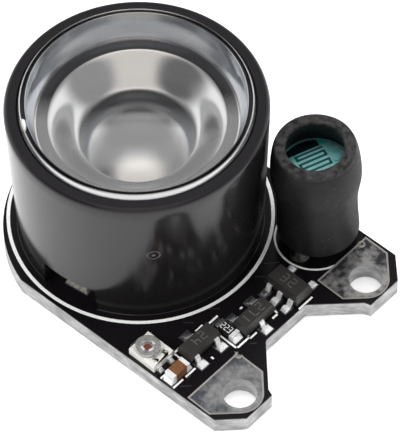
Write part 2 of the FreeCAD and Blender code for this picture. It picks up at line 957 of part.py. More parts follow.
def moulded_nodes():
    nodes = {}
    rows = [("transistor_a", transistor_a_at, transistor_wide, case_long, transistor_wide, transistor_span,
             transistor_high, transistor_land_wide, transistor_a_side),
            ("transistor_b", transistor_b_at, transistor_wide, case_long, transistor_wide, transistor_span,
             transistor_high, transistor_land_wide, transistor_b_side),
            ("driver", driver_at, case_long, driver_wide, driver_wide, driver_span,
             driver_high, driver_land_wide, driver_side)]
    for name, at, long_x, long_y, case, span, high, wide, sides in rows:
        leads = all_leads(at, case, span, sides)
        body = moulded_case(at, long_x, long_y, high, leads)
        nodes[name + "_body"] = body
        nodes[name + "_leads"] = joined(leads)
        nodes["solder_" + name] = joined(lead_solder(at, span, wide, sides, leads + [body]))
    return nodes


def chip_nodes():
    nodes = {}
    rows = [("resistor", resistor_at, resistor_turn, resistor_high, resistor_land_out, resistor_solder_high),
            ("capacitor", capacitor_at, capacitor_turn, capacitor_high, capacitor_land_out,
             capacitor_solder_high)]
    for name, at, turn, high, out, solder in rows:
        body, ends, whole = chip(at, turn, high)
        nodes[name + "_body"] = body
        nodes[name + "_ends"] = joined(ends)
        nodes["solder_" + name] = joined(chip_solder(at, turn, out, solder, whole))
    return nodes


def trimmer_nodes():
    return {
        "trimmer_base": trimmer_base(),
        "trimmer_pivot": trimmer_pivot(),
        "trimmer_plate": trimmer_plate(),
        "trimmer_rotor": trimmer_rotor(),
        "trimmer_terminals": joined(trimmer_terminals()),
        "solder_trimmer": joined(trimmer_solder()),
    }


def write_all():
    os.makedirs("parts", exist_ok=True)
    lamp_and_sensor = [board_nodes(), lamp_nodes(), sensor_nodes()]
    for nodes in lamp_and_sensor + [moulded_nodes(), chip_nodes(), trimmer_nodes()]:
        for name, shape in nodes.items():
            shape.exportStep("parts/" + name + ".step")


write_all()
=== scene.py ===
import math

import bmesh
import bpy
import numpy as np
from mathutils import Matrix


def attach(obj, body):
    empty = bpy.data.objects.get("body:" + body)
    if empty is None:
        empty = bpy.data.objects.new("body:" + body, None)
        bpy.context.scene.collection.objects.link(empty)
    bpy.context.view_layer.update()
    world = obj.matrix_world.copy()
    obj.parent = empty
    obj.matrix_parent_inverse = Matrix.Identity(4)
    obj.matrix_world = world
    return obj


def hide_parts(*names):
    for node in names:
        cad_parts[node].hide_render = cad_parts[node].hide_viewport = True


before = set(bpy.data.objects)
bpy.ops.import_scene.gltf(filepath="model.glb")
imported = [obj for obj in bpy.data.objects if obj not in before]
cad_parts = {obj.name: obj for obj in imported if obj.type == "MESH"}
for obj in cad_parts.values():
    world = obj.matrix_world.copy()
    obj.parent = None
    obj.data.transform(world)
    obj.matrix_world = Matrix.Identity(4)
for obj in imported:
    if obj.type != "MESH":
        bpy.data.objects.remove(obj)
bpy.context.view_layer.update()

# Camera: looks down 54 degrees onto the lamp board from between its screw ears and its trimmer side,
# from about 29 cm away through a long lens.
sight = bpy.data.cameras.new("photo_camera")
sight.sensor_width = 36.0
sight.lens = 357.3
photo_camera = bpy.data.objects.new("photo_camera", sight)
bpy.context.collection.objects.link(photo_camera)
photo_camera.matrix_world = (Matrix.Translation((0.12164, -0.12133, 0.23679))
                             @ Matrix.Rotation(math.radians(43.73), 4, "Z")
                             @ Matrix.Rotation(math.radians(36.07), 4, "X")
                             @ Matrix.Rotation(math.radians(-1.04), 4, "Z"))
bpy.context.scene.camera = photo_camera
bpy.context.scene.view_settings.view_transform = "Standard"

# Table and studio: a pale seamless sweep under and behind the board, lit by large soft lamps.
# Seen directly or through the lens the sweep is white. What mirrors see is a dim room with pale boxes.


def shader(name, colour, roughness, **plain):
    """New material: its node tree and its Principled shader, with plain socket values set."""
    finish = bpy.data.materials.new(name)
    finish.use_nodes = True
    body = finish.node_tree.nodes["Principled BSDF"]
    body.inputs["Base Color"].default_value = (*colour, 1)
    body.inputs["Roughness"].default_value = roughness
    for socket, value in plain.items():
        body.inputs[socket.replace("_", " ")].default_value = value
    return finish, finish.node_tree, body


def feed(body, **values):
    """Links sockets to the inputs of a shader."""
    for socket, value in values.items():
        body.id_data.links.new(value, body.inputs[socket.replace("_", " ")])


def node(tree, kind, inputs=(), **settings):
    """Adds a node, sets its options, and links or sets its inputs by place or by name."""
    new = tree.nodes.new(kind)
    for key, value in settings.items():
        setattr(new, key, value)
    for key, value in (inputs.items() if isinstance(inputs, dict) else enumerate(inputs)):
        if isinstance(value, bpy.types.NodeSocket):
            tree.links.new(value, new.inputs[key])
        else:
            new.inputs[key].default_value = value
    return new


def maths(tree, operation, *values):
    """Sockets or numbers joined one after the other by a Math operation."""
    result = values[0]
    for value in values[1:]:
        result = node(tree, "ShaderNodeMath", [result, value], operation=operation).outputs[0]
    return result


def product(tree, *values):
    """Product of sockets or numbers."""
    return maths(tree, "MULTIPLY", *values)


def total(tree, *values):
    """Sum of sockets or numbers."""
    return maths(tree, "ADD", *values)


def between(tree, value, low, high, from_low=0.3, from_high=0.7):
    """Value spread from one range to another."""
    return node(tree, "ShaderNodeMapRange", {"Value": value, "From Min": from_low, "From Max": from_high,
                                             "To Min": low, "To Max": high}).outputs[0]


def tint(tree, value, low, high):
    """Colour between two colours, each a socket or three numbers, by value."""
    low, high = (end if isinstance(end, bpy.types.NodeSocket) else (*end, 1) for end in (low, high))
    return node(tree, "ShaderNodeMix", {"Factor": value, 6: low, 7: high}, data_type="RGBA").outputs[2]


def here(tree):
    """Object coordinates, in metres."""
    return node(tree, "ShaderNodeTexCoord").outputs["Object"]


def distance(tree, point):
    """Distance from a point, in metres."""
    return node(tree, "ShaderNodeVectorMath", [here(tree), point], operation="DISTANCE").outputs["Value"]


def window(tree, value, low, high, soft):
    """One inside a range of values and zero outside, with soft sides."""
    sides = []
    for edge, before, after in ((low, 0.0, 1.0), (high, 1.0, 0.0)):
        span = {"Value": value, "From Min": edge - soft, "From Max": edge + soft, "To Min": before,
                "To Max": after}
        sides.append(node(tree, "ShaderNodeMapRange", span, interpolation_type="SMOOTHSTEP").outputs[0])
    return product(tree, *sides)


floor_mesh = bpy.data.meshes.new("table")
floor_mesh.from_pydata([(-3, -3, 0), (3, -3, 0), (3, 3, 0), (-3, 3, 0)], [], [(0, 1, 2, 3)])
table = bpy.data.objects.new("table", floor_mesh)
bpy.context.collection.objects.link(table)
pale, tree, body = shader("pale_table", (0.8, 0.8, 0.8), 0.7)
body.inputs["Emission Color"].default_value = (1, 1, 1, 1)
path = node(tree, "ShaderNodeLightPath").outputs
viewed = maths(tree, "MAXIMUM", path["Is Camera Ray"], path["Is Glossy Ray"], path["Is Transmission Ray"])
# The sweep is painted dark under the board for mirror rays only: a painted dark reflection in the tube.
painted_mirror_shade = between(tree, distance(tree, (0.002, 0.012, 0)), 0.92, 0.0, 0.006, 0.015)
painted_mirror_shade = product(tree, painted_mirror_shade, path["Is Glossy Ray"])
feed(body, Emission_Strength=product(tree, viewed, 0.42, maths(tree, "SUBTRACT", 1.0, painted_mirror_shade)),
     Base_Color=tint(tree, painted_mirror_shade, (0.8, 0.8, 0.8), (0.02, 0.02, 0.02)))
floor_mesh.materials.append(pale)

sky = bpy.data.worlds.new("studio")
bpy.context.scene.world = sky
sky.use_nodes = True
tree = sky.node_tree
tree.nodes.clear()
ray = node(tree, "ShaderNodeTexCoord").outputs["Generated"]
turned = node(tree, "ShaderNodeMapping", {"Vector": ray, "Rotation": (0, 0, math.radians(46.3))}).outputs[0]
way = node(tree, "ShaderNodeSeparateXYZ", [turned]).outputs
aside = node(tree, "ShaderNodeMath", [way["Y"]], operation="ABSOLUTE").outputs[0]
towards, right, up = way["X"], way["Y"], way["Z"]
# Each box has its strength and the ranges of direction that it fills, each with its low end, high end and
# softness. The dim one takes light off the left of the ceiling.
pale_boxes = {
    "front": (0.48, (towards, 0.02, 2.0, 0.12), (aside, -1.0, 0.42, 0.14)),
    "over_lamp": (0.42, (towards, -0.13, 0.22, 0.14), (aside, -1.0, 0.26, 0.16)),
    "side_high": (0.82, (aside, 0.46, 2.0, 0.12), (towards, -2.0, -0.05, 0.16), (up, -1.0, 0.62, 0.2)),
    "side_low": (0.90, (aside, 0.46, 2.0, 0.12), (towards, -0.05, 2.0, 0.16), (up, -1.0, 0.08, 0.12)),
    "sweep": (0.55, (towards, -2.0, -0.1, 0.1), (up, -1.0, 0.0, 0.05)),
    "low_band": (0.40, (towards, 0.2, 2.0, 0.1), (up, -0.4, 0.25, 0.12)),
    "ceiling": (0.27, (towards, -0.70, 2.0, 0.08)),
    "dim_left": (-0.20, (right, -0.92, -0.36, 0.07), (up, 0.16, 2.0, 0.1), (towards, 0.08, 2.0, 0.1)),
    "behind": (0.40, (towards, -2.0, -0.74, 0.05), (up, 0.3, 2.0, 0.1), (aside, -1.0, 0.5, 0.12)),
}
lit = {name: product(tree, *(window(tree, *span) for span in spans), strength)
       for name, (strength, *spans) in pale_boxes.items()}
mirrored = total(tree, *lit.values(), 0.09)
path = node(tree, "ShaderNodeLightPath").outputs
plain = maths(tree, "MAXIMUM", path["Is Camera Ray"], path["Is Transmission Ray"], 0.5)
strength = node(tree, "ShaderNodeMix", {"Factor": path["Is Glossy Ray"], 2: plain, 3: mirrored}).outputs[0]
warm = product(tree, lit["front"], path["Is Glossy Ray"], window(tree, up, 0.35, 2.0, 0.12))
shine = node(tree, "ShaderNodeBackground", {"Color": tint(tree, warm, (1, 1, 1), (1.0, 0.90, 0.78)),
                                            "Strength": strength})
node(tree, "ShaderNodeOutputWorld", [shine.outputs[0]])


def softbox(name, place, wide, high, watts):
    """Rectangular lamp at place that faces the board. Mirrors and the lens don't show it."""
    light = bpy.data.lights.new(name, "AREA")
    light.shape = "RECTANGLE"
    light.size, light.size_y, light.energy = wide, high, watts
    lamp = bpy.data.objects.new(name, light)
    bpy.context.collection.objects.link(lamp)
    x, y, z = place
    lamp.location = place
    lamp.rotation_euler = (math.atan2(math.hypot(x, y), z), 0, math.atan2(y, x) + math.pi / 2)
    lamp.visible_glossy = False
    lamp.visible_transmission = False


softbox("softbox_top", (-0.10, 0.06, 0.55), 0.35, 0.35, 2.4)
softbox("softbox_left", (-0.32, -0.38, 0.30), 0.30, 0.30, 1.6)
softbox("softbox_right", (0.40, 0.30, 0.28), 0.25, 0.30, 1.3)

# Base board: stamped and milled aluminium, bright at its edge with fine streaks from the cutter.
# It carries the circuit and leads the emitter's heat to whatever it is screwed on.


def ease(name, source, width, finish, riding="board", segments=2, soft=0.0, shaping=None,
         second=None):
    """A copy of a solid with its loose corners merged, flat faces joined and edges rounded by width
    millimetres. A soft one is melted together to soft millimetres instead. Shaping changes the copy
    first and may give faces the second finish."""
    shape = bmesh.new()
    shape.from_mesh(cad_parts[source].data)
    bmesh.ops.remove_doubles(shape, verts=shape.verts, dist=2e-7)
    bmesh.ops.dissolve_limit(shape, angle_limit=math.radians(0.4), verts=shape.verts, edges=shape.edges)
    bmesh.ops.recalc_face_normals(shape, faces=shape.faces)
    if shaping:
        shaping(shape)
    mesh = bpy.data.meshes.new(name)
    shape.to_mesh(mesh)
    shape.free()
    piece = bpy.data.objects.new(name, mesh)
    bpy.context.collection.objects.link(piece)
    mesh.shade_smooth()
    mesh.set_sharp_from_angle(angle=math.radians(28))
    if soft:
        melt = piece.modifiers.new("melt", "REMESH")
        melt.mode = "VOXEL"
        melt.voxel_size = soft / 1000
        melt.use_smooth_shade = True
        flow = piece.modifiers.new("flow", "SMOOTH")
        flow.factor = 0.6
        flow.iterations = 26
    else:
        rounding = piece.modifiers.new("edge", "BEVEL")
        rounding.width = width / 1000
        rounding.segments = segments
        rounding.limit_method = "ANGLE"
        rounding.angle_limit = math.radians(28)
        rounding.use_clamp_overlap = True
        rounding.harden_normals = True
    mesh.materials.append(finish)
    if second:
        mesh.materials.append(second)
    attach(piece, riding)
    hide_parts(source)


# The grain of the materials is one group: noise on object coordinates, with a fineness in spots per metre.
spots = bpy.data.node_groups.new("grain", "ShaderNodeTree")
for label, kind in (("Fineness", "Float"), ("Stretch", "Vector"), ("Detail", "Float"), ("Shift", "Vector")):
    spots.interface.new_socket(name=label, in_out="INPUT", socket_type="NodeSocket" + kind)
spots.interface.new_socket(name="Value", in_out="OUTPUT", socket_type="NodeSocketFloat")
given = node(spots, "NodeGroupInput").outputs
spread = node(spots, "ShaderNodeMapping", {"Vector": here(spots), "Location": given["Shift"],
                                           "Scale": given["Stretch"]}).outputs[0]
noise = node(spots, "ShaderNodeTexNoise", {"Vector": spread, "Scale": given["Fineness"],
                                           "Detail": given["Detail"]})
node(spots, "NodeGroupOutput", [noise.outputs[0]])


def speckle(tree, size, stretch=(1, 1, 1), detail=4.0, seed=0.0):
    """Grain with spots of about the given size in millimetres."""
    return node(tree, "ShaderNodeGroup", {"Fineness": 1000 / size, "Stretch": stretch, "Detail": detail,
                                          "Shift": (seed, seed, seed)}, node_tree=spots).outputs[0]


def relief(tree, height, depth, body):
    """Bump of a depth in millimetres under a shader."""
    feed(body, Normal=node(tree, "ShaderNodeBump", {"Height": height, "Distance": depth / 1000}).outputs[0])


milled, tree, body = shader("milled_aluminium", (0.5, 0.5, 0.51), 0.45, Metallic=0.6)
streak = speckle(tree, 0.30, (0.45, 0.45, 1.7), 6.0)
blotch = speckle(tree, 0.9, (0.7, 0.7, 1.4), 4.0, 4.0)
shade = between(tree, product(tree, streak, blotch), 0.0, 1.0, 0.14, 0.38)
feed(body, Base_Color=tint(tree, shade, (0.28, 0.28, 0.285), (0.60, 0.595, 0.60)),
     Roughness=between(tree, streak, 0.36, 0.6))
relief(tree, streak, 0.010, body)
ease("base_board", "board_core", 0.03, milled)

# Circuit layer: copper tracks under a glossy black mask, bonded to the base board. The tracks show as
# faint hairlines, and white marks are printed on it round the parts.


def grained(name, colour, rough, size, depth=0.0, shades=None, detail=4.0, **plain):
    """Material with a fine grain of spots of a size in millimetres. The grain moves the roughness between
    two values and the colour between two shades where they are given, and is depth millimetres deep."""
    finish, tree, body = shader(name, colour, rough[0], **plain)
    grain = speckle(tree, size, detail=detail)
    if len(rough) > 1:
        feed(body, Roughness=between(tree, grain, *rough))
    if shades:
        feed(body, Base_Color=tint(tree, between(tree, grain, 0, 1), *shades))
    if depth:
        relief(tree, grain, depth, body)
    return finish


mask = grained("black_mask", (0.006, 0.005, 0.006), (0.13, 0.26), 0.25, 0.0012, detail=5.0,
               Specular_IOR_Level=0.30)
ease("circuit_mask", "circuit_layer", 0.012, mask, segments=1)


def skin(name, points, faces, finish, slot, riding="board", replaces=(), sharp=28):
    """Closed mesh from points in millimetres and faces, welded and with its faces turned outwards."""
    mesh = bpy.data.meshes.new(name)
    mesh.from_pydata((np.asarray(points).reshape(-1, 3) / 1000).tolist(), [], faces)
    shape = bmesh.new()
    shape.from_mesh(mesh)
    bmesh.ops.remove_doubles(shape, verts=shape.verts, dist=1e-7)
    bmesh.ops.recalc_face_normals(shape, faces=shape.faces)
    shape.to_mesh(mesh)
    shape.free()
    mesh.shade_smooth()
    mesh.set_sharp_from_angle(angle=math.radians(sharp))
    mesh.materials.append(finish)
    piece = bpy.data.objects.new(name, mesh)
    bpy.context.collection.objects.link(piece)
    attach(piece, riding)
    if replaces:
        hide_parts(*replaces)


def strokes(lines, wide, low, high, corners=8):
    """Flat bars from low to high, one for each line (ax, ay, bx, by). The outline is b + r (cos t, sin t)
    about the end b and a - r (cos t, sin t) about the start a, for t up to a quarter turn off the line.
    With r = wide / 2 the ends are round. Two corners, r = wide / sqrt 2 and an eighth turn give square
    ends."""
    spread, reach = (math.pi / 2, wide / 2) if corners > 2 else (math.pi / 4, wide / math.sqrt(2))
    ax, ay, bx, by = np.array(lines, float).T[..., None]
    turn = np.arctan2(by - ay, bx - ax) + np.linspace(-spread, spread, corners)
    angle = np.concatenate([turn, turn + math.pi], 1)
    x = np.repeat(np.concatenate([bx, ax], 1), corners, 1) + reach * np.cos(angle)
    y = np.repeat(np.concatenate([by, ay], 1), corners, 1) + reach * np.sin(angle)
    points = np.stack([np.stack([x, y, np.full(x.shape, level)], -1) for level in (low, high)], 1)
    count = 2 * corners
    ring = np.arange(count)
    start = 2 * count * np.arange(len(lines))[:, None]
    after = (ring + 1) % count
    walls = np.stack([start + ring, start + after, start + count + after, start + count + ring], -1)
    faces = (start + ring[::-1]).tolist() + (start + count + ring).tolist() + walls.reshape(-1, 4).tolist()
    return points.reshape(-1, 3), faces


white_print, tree, body = shader("white_print", (0.82, 0.82, 0.80), 0.45)
wear = speckle(tree, 0.12, detail=6.0)
paint = tint(tree, between(tree, wear, 0, 1, 0.25, 0.5), (0.70, 0.70, 0.69), (0.95, 0.95, 0.94))
# Seen in mirrors the print is painted nearly black, so that its reflection in the tube is painted out.
mirror_ray = node(tree, "ShaderNodeLightPath").outputs["Is Glossy Ray"]
feed(body, Base_Color=tint(tree, product(tree, mirror_ray, 0.85), paint, (0.01, 0.01, 0.01)))
relief(tree, wear, 0.004, body)

board_top = 1.4
sunk, print_top = board_top - 0.01, board_top + 0.012
# Each mark is a line from one point to another, in millimetres.
marks = [
    (9.6, -3.5, 9.6, -2.75),
    (11.25, -2.5, 12.33, -2.5), (12.33, -2.5, 12.33, -3.75), (12.33, -3.75, 10.85, -3.75),
    (12.43, -2.5, 12.43, -1.98),
    (9.5, -6.18, 9.5, -6.87), (9.5, -6.87, 10.6, -6.87), (11.61, -5.41, 11.69, -5.41),
    (9.37, -4.53, 9.37, -3.98),
    (11.38, -7.65, 11.38, -6.85), (11.38, -8.85, 11.38, -8.05), (10.25, -8.85, 10.25, -8.2),
    (11.95, 0.19, 12.45, 0.19), (12.45, 0.19, 12.45, -0.3), (11.8, 0.5, 11.95, 0.19),
    (13.24, 1.45, 13.24, 2.65),
    (10.33, -1.2, 10.33, -1.12), (7.1, -6.81, 7.12, -6.81),
]
skin("printed_marks", *strokes(marks, 0.14, sunk, print_top, corners=2), white_print, "black_mask")


def quads(rows, columns, wrap_rows=True, wrap_columns=True):
    """Faces between neighbours on a grid of points numbered row by row."""
    i, j = np.meshgrid(np.arange(rows if wrap_rows else rows - 1),
                       np.arange(columns if wrap_columns else columns - 1), indexing="ij")
    a, b = (i + 1) % rows, (j + 1) % columns
    corners = [i * columns + j, a * columns + j, a * columns + b, i * columns + b]
    return np.stack(corners, -1).reshape(-1, 4).tolist()


def arc_band(name, middle, angle, inner, outer, low, high, finish, slot, riding="board"):
    """Flat band between two radii at each angle, r (cos a, sin a) about the middle, with closed ends."""
    count = len(angle)
    inner, outer, low, high = (np.full(count, value) for value in (inner, outer, low, high))
    radius = np.stack([inner, outer, outer, inner], -1)
    angle = angle[:, None]
    band = np.stack([middle[0] + radius * np.cos(angle), middle[1] + radius * np.sin(angle),
                     np.stack([low, low, high, high], -1)], -1)
    ends = [(0, 1, 2, 3), tuple(range(4 * count - 4, 4 * count))]
    skin(name, band, quads(count, 4, False) + ends, finish, slot, riding)


# The ring round the tube is cut off where the board ends: at its round end about (end_x, end_y) and at
# its sawn side, a line at distance side_far that rises by saw_slope.
ring_inner, ring_outer, to_edge = 8.88, 9.12, 0.03
end_x, end_y, end_r = 0.47, -0.35, 9.45
side_far, saw_slope = 8.64, 0.0297
angle = np.radians(np.linspace(-193, 76, 270))
off_end = end_x * np.cos(angle) + end_y * np.sin(angle)
round_edge = off_end + np.sqrt(end_r ** 2 - end_x ** 2 - end_y ** 2 + off_end ** 2)
sawn_edge = side_far / np.maximum(np.sin(angle) - saw_slope * np.cos(angle), 0.1)
outer = np.clip(np.minimum(round_edge, sawn_edge) - to_edge, ring_inner + 0.02, ring_outer)
arc_band("printed_ring", (0, 0), angle, ring_inner, outer, sunk, print_top, white_print, "black_mask")

sensor_x, sensor_y = 10.05, 6.5
angle = np.radians(np.linspace(165, 345, 48))
arc_band("printed_sensor_ring", (sensor_x, sensor_y), angle, 2.63, 2.77, sunk, print_top, white_print,
         "black_mask")

faint = grained("covered_track", (0.028, 0.026, 0.030), (0.18, 0.34), 0.3, 0.0015)
tracks = [
    (8.7, -2.75, 9.3, -2.15), (9.0, 2.6, 9.7, 3.35), (9.3, 1.4, 9.85, 1.85), (11.65, -8.5, 12.1, -8.0),
    (12.75, -2.85, 13.0, -2.55), (8.3, -4.6, 8.8, -4.2),
]
skin("covered_tracks", *strokes(tracks, 0.07, sunk, board_top + 0.006), faint, "black_mask")

# Screw pads: bare copper round both screw holes, tinned, with a thin raised edge of solder.
# The supply wires can be soldered or screwed to them. The small parts have tinned lands of the same kind.

# Places and rim sizes are in metres here, as the copied solids are.
screw_x, screw_y = 0.0149, 0.00625
rim_wide, rim_high, hole_near = 0.00012, 0.00002, 0.0014
pad_rim, tree, body = shader("pad_rim", (0.34, 0.32, 0.30), 0.35, Metallic=0.3)
grain = speckle(tree, 0.2)
feed(body, Base_Color=tint(tree, grain, (0.22, 0.205, 0.19), (0.46, 0.435, 0.41)))
relief(tree, grain, 0.01, body)


def pad_finish(name, side, dark, light, spotted):
    """Tinned copper round the hole on a side: paler near the hole, clouded and finely scratched."""
    finish, tree, body = shader(name, dark, 0.4, Metallic=0.55)
    near = between(tree, distance(tree, (screw_x, side * screw_y, 0.00143)), 0.75, 0.0, 0.0012, 0.0028)
    cloud = between(tree, speckle(tree, 1.3), -0.35, 0.45)
    scratch = speckle(tree, 0.10, (0.25, 1.6, 1.0), 3.0, 6.0)
    spot = between(tree, speckle(tree, 0.22 + 0.4 * spotted, detail=5.0, seed=3.0), -spotted, spotted)
    feed(body, Base_Color=tint(tree, total(tree, near, cloud, spot), dark, light),
         Roughness=between(tree, scratch, 0.26, 0.44))
    relief(tree, scratch, 0.006, body)
    return finish


def raised_rim(shape):
    """Insets the flat top and lowers it, so that a band of the second finish stands round it. The band
    round the screw hole keeps the first finish."""
    top = [face for face in shape.faces if face.normal.z > 0.9]
    band = bmesh.ops.inset_region(shape, faces=top, thickness=rim_wide, use_even_offset=True)["faces"]
    for face in band:
        middle = face.calc_center_median()
        to_hole = math.hypot(middle.x - screw_x, abs(middle.y) - screw_y)
        face.material_index = int(to_hole > hole_near)
    lowered = list({corner for face in top for corner in face.verts})
    bmesh.ops.translate(shape, vec=(0, 0, -rim_high), verts=lowered)


left_pad = pad_finish("tinned_pad_left", 1, (0.045, 0.045, 0.05), (0.40, 0.39, 0.38), 0.55)
tinned = pad_finish("tinned_pad_right", -1, (0.085, 0.09, 0.105), (0.36, 0.36, 0.36), 0.3)
ease("tinned_pad_left", "screw_pad_left", 0.02, left_pad, shaping=raised_rim, second=pad_rim)
ease("tinned_pad_right", "screw_pad_right", 0.02, tinned, shaping=raised_rim, second=pad_rim)
ease("part_lands", "component_lands", 0.01, tinned, segments=1)

# Tube: one black moulding with draft, a sloped inner lip, a seat for the lens and two notches at its
# foot for the emitter's leads. It is glued to the board.
moulded, tree, body = shader("black_moulding", (0.011, 0.010, 0.011), 0.2, Specular_IOR_Level=0.38)
body.inputs["Specular Tint"].default_value = (0.98, 0.95, 1.0, 1)
feed(body, Roughness=between(tree, speckle(tree, 3.0, (1, 1, 0.5), 3.0, 7.0), 0.11, 0.20))
relief(tree, speckle(tree, 0.12, detail=6.0), 0.0012, body)

rim = board_top + 12.25
tube_r, draft = 8.4, 0.39 / 12.0
lip_r, lip_round, wall_top = 8.43, 0.35, rim - 0.36
bore_r, seat_r, skirt_r, seat_deep = 7.94, 7.05, 7.5, 2.05
foot_flare, flare_high = 0.06, 0.05
notch_turn = math.radians(-81.6)
notch_r, notch_half, notch_high, notch_round = 8.0, 2.05, 2.2, 0.5


def tube_foot(angle):
    """Height of the wall's lower edge over a notch: board + h - c (1 - sqrt(1 - t^2)), with the notch's
    height h, its corner radius c and t the way into the corner. Past the sides it is the board."""
    across = np.abs(notch_r * np.sin(angle - notch_turn))
    t = np.clip((across - notch_half + notch_round) / notch_round, 0, 1)
    arch = notch_high - notch_round * (1 - np.sqrt(np.clip(1 - t ** 2, 0, 1)))
    return board_top + np.where(across < notch_half, arch, 0.0)


plain_steps, notch_steps = 100, 40
edge = math.asin(notch_half / notch_r)
half = notch_turn + edge + np.concatenate([np.linspace(0, math.pi - 2 * edge, plain_steps),
                                           np.linspace(math.pi - 2 * edge, math.pi, notch_steps)])
angle = np.concatenate([half, half + math.pi])
in_notch = np.tile(np.arange(plain_steps + notch_steps) >= plain_steps, 2)
foot = np.where(in_notch, tube_foot(angle), board_top)
climb = np.concatenate([[0, 0.002, 0.004, 0.007], np.linspace(0.012, 1, 14)])[:, None]
outer_z = foot + climb * (wall_top - foot)
above = outer_z - board_top
outer_r = tube_r + draft * above + foot_flare * np.exp(-(above / flare_high) ** 2)
corner = np.linspace(0, math.pi / 2, 10)[1:]
step_r = [7.99, 7.955, bore_r, bore_r, 7.07, seat_r, seat_r, skirt_r, skirt_r]
step_down = [0.0, 0.015, 0.05, seat_deep, seat_deep, seat_deep + 0.02, 3.25, 3.75, 3.95]
top_r = np.concatenate([lip_r + lip_round * np.cos(corner), step_r])
top_z = rim - np.concatenate([lip_round * (1 - np.sin(corner)), step_down])
inner_z = top_z[-1] + np.linspace(0, 1, 6)[1:, None] * (foot - top_z[-1])
count = len(angle)
radius = np.concatenate([outer_r, np.repeat(top_r[:, None], count, 1), np.full((5, count), skirt_r)])
level = np.concatenate([outer_z, np.repeat(top_z[:, None], count, 1), inner_z])
tube = np.stack([radius * np.cos(angle), radius * np.sin(angle), level], -1)
skin("tube", tube, quads(len(radius), count), moulded, "black_moulded", replaces=("lens_holder",), sharp=14)

# The ejector pin left a shallow round dent with a thin flash, a little over half way up the wall. The dent
# is painted darker than the tube as painted shade. Its flash ring is painted lighter, partly as pale flash
# and partly as a painted highlight, and its middle is painted light as a painted highlight.
mark_turn, mark_high, mark_proud = math.radians(-40.0), 7.1, 0.012
mark_r = (tube_r + draft * mark_high) / 1000
mark_place = (mark_r * math.cos(mark_turn), mark_r * math.sin(mark_turn), (board_top + mark_high) / 1000)
flash_shade_and_highlight, tree, body = shader("ejector_flash_shade_and_highlight", (0.01, 0.01, 0.01), 0.4, Specular_IOR_Level=0.3)
mark_gap = distance(tree, mark_place)
ridge_flash_and_highlight = product(tree, window(tree, mark_gap, 0.00035, 0.0006, 0.00002),
                between(tree, speckle(tree, 0.3, detail=2.0), 0.35, 1.0))
# The pin's light middle is a painted highlight.
pin = between(tree, mark_gap, 1.0, 0.0, 0.00010, 0.00018)
feed(body, Base_Color=tint(tree, total(tree, ridge_flash_and_highlight, pin), (0.003, 0.003, 0.003), (0.12, 0.115, 0.115)))
relief(tree, speckle(tree, 0.2), 0.004, body)
rho, lift = np.array([(0.0, 0.03), (0.10, 0.02), (0.17, -0.07), (0.34, -0.07), (0.38, 0.016), (0.44, 0.018),
                      (0.48, -0.02)]).T
spin = np.linspace(0, 2 * math.pi, 48, endpoint=False)[:, None]
side, up = rho * np.cos(spin), board_top + mark_high + rho * np.sin(spin)
reach = tube_r + draft * (up - board_top) + lift + mark_proud
turn = mark_turn + side / reach
skin("ejector_mark", np.stack([reach * np.cos(turn), reach * np.sin(turn), up], -1),
     quads(48, len(rho), True, False), flash_shade_and_highlight, "black_moulded")

# Lens: one clear moulding. Light from the emitter leaves through the domed floor of its bowl and, turned
# by the cone below, through the bowl's wall. It drops into the tube and rests on the seat.
clear, tree, body = shader("clear_lens", (0.93, 0.93, 0.935), 0.15, IOR=1.49, Metallic=0.72,
                           Transmission_Weight=1.0)
path = node(tree, "ShaderNodeLightPath").outputs
through = node(tree, "ShaderNodeBsdfTransparent", {"Color": (0.85, 0.85, 0.85, 1)})
either = node(tree, "ShaderNodeMixShader", [path["Is Shadow Ray"], body.outputs[0], through.outputs[0]])
tree.links.new(either.outputs[0], tree.nodes["Material Output"].inputs["Surface"])
relief(tree, speckle(tree, 1.6, detail=2.0), 0.004, body)
flat = node(tree, "ShaderNodeVectorMath", [here(tree), (1000, 1000, 0)], operation="MULTIPLY").outputs[0]
from_axis = node(tree, "ShaderNodeVectorMath", [flat], operation="LENGTH").outputs["Value"]
far_x, far_y = -0.691, 0.723
along = node(tree, "ShaderNodeVectorMath", [flat, (far_x, far_y, 0)], operation="DOT_PRODUCT")
far_side = along.outputs["Value"]
height = node(tree, "ShaderNodeSeparateXYZ", [here(tree)]).outputs["Z"]
# Painted dark reflections and painted shade: the shelf, the flank and back of the dome on the far side are
# painted darker where the camera sees them, and the groove and its ring are painted darker. The outer wall
# is painted a cooler tint against the warm reflection there.
shelf = window(tree, from_axis, 5.96, 6.9, 0.05)
flank = product(tree, window(tree, from_axis, 1.75, 3.80, 0.3), 0.9)
dome_back = product(tree, window(tree, from_axis, -1.0, 1.75, 0.3),
                    between(tree, far_side, 0, 0.92, 0.6, 1.35))
edge_ring_painted_shade = product(tree, window(tree, from_axis, 7.3, 8.2, 0.06), 0.26)
gap = product(tree, window(tree, from_axis, 7.39, 7.63, 0.01),
              between(tree, height, 1, 0, 0.01370, 0.01388), between(tree, far_side, 1, 0, 0.5, 6.0))
far_painted_dark_reflection = product(tree, total(tree, shelf, flank), between(tree, far_side, 0, 1, 0.0, 2.1))
far_painted_dark_reflection = product(tree, total(tree, far_painted_dark_reflection, dome_back), between(tree, height, 1, 0, 0.0119, 0.0122),
                   path["Is Camera Ray"])
cool = tint(tree, window(tree, from_axis, 6.9, 7.4, 0.1), (0.93, 0.93, 0.935), (0.88, 0.93, 1.0))
near_wall = product(tree, window(tree, from_axis, 3.95, 5.85, 0.12),
                    between(tree, far_side, 1, 0, -2.6, 0.4))
feed(body, Base_Color=tint(tree, total(tree, edge_ring_painted_shade, gap, far_painted_dark_reflection), cool, (0.10, 0.10, 0.11)),
     Roughness=total(tree, 0.15, product(tree, near_wall, 0.22)))


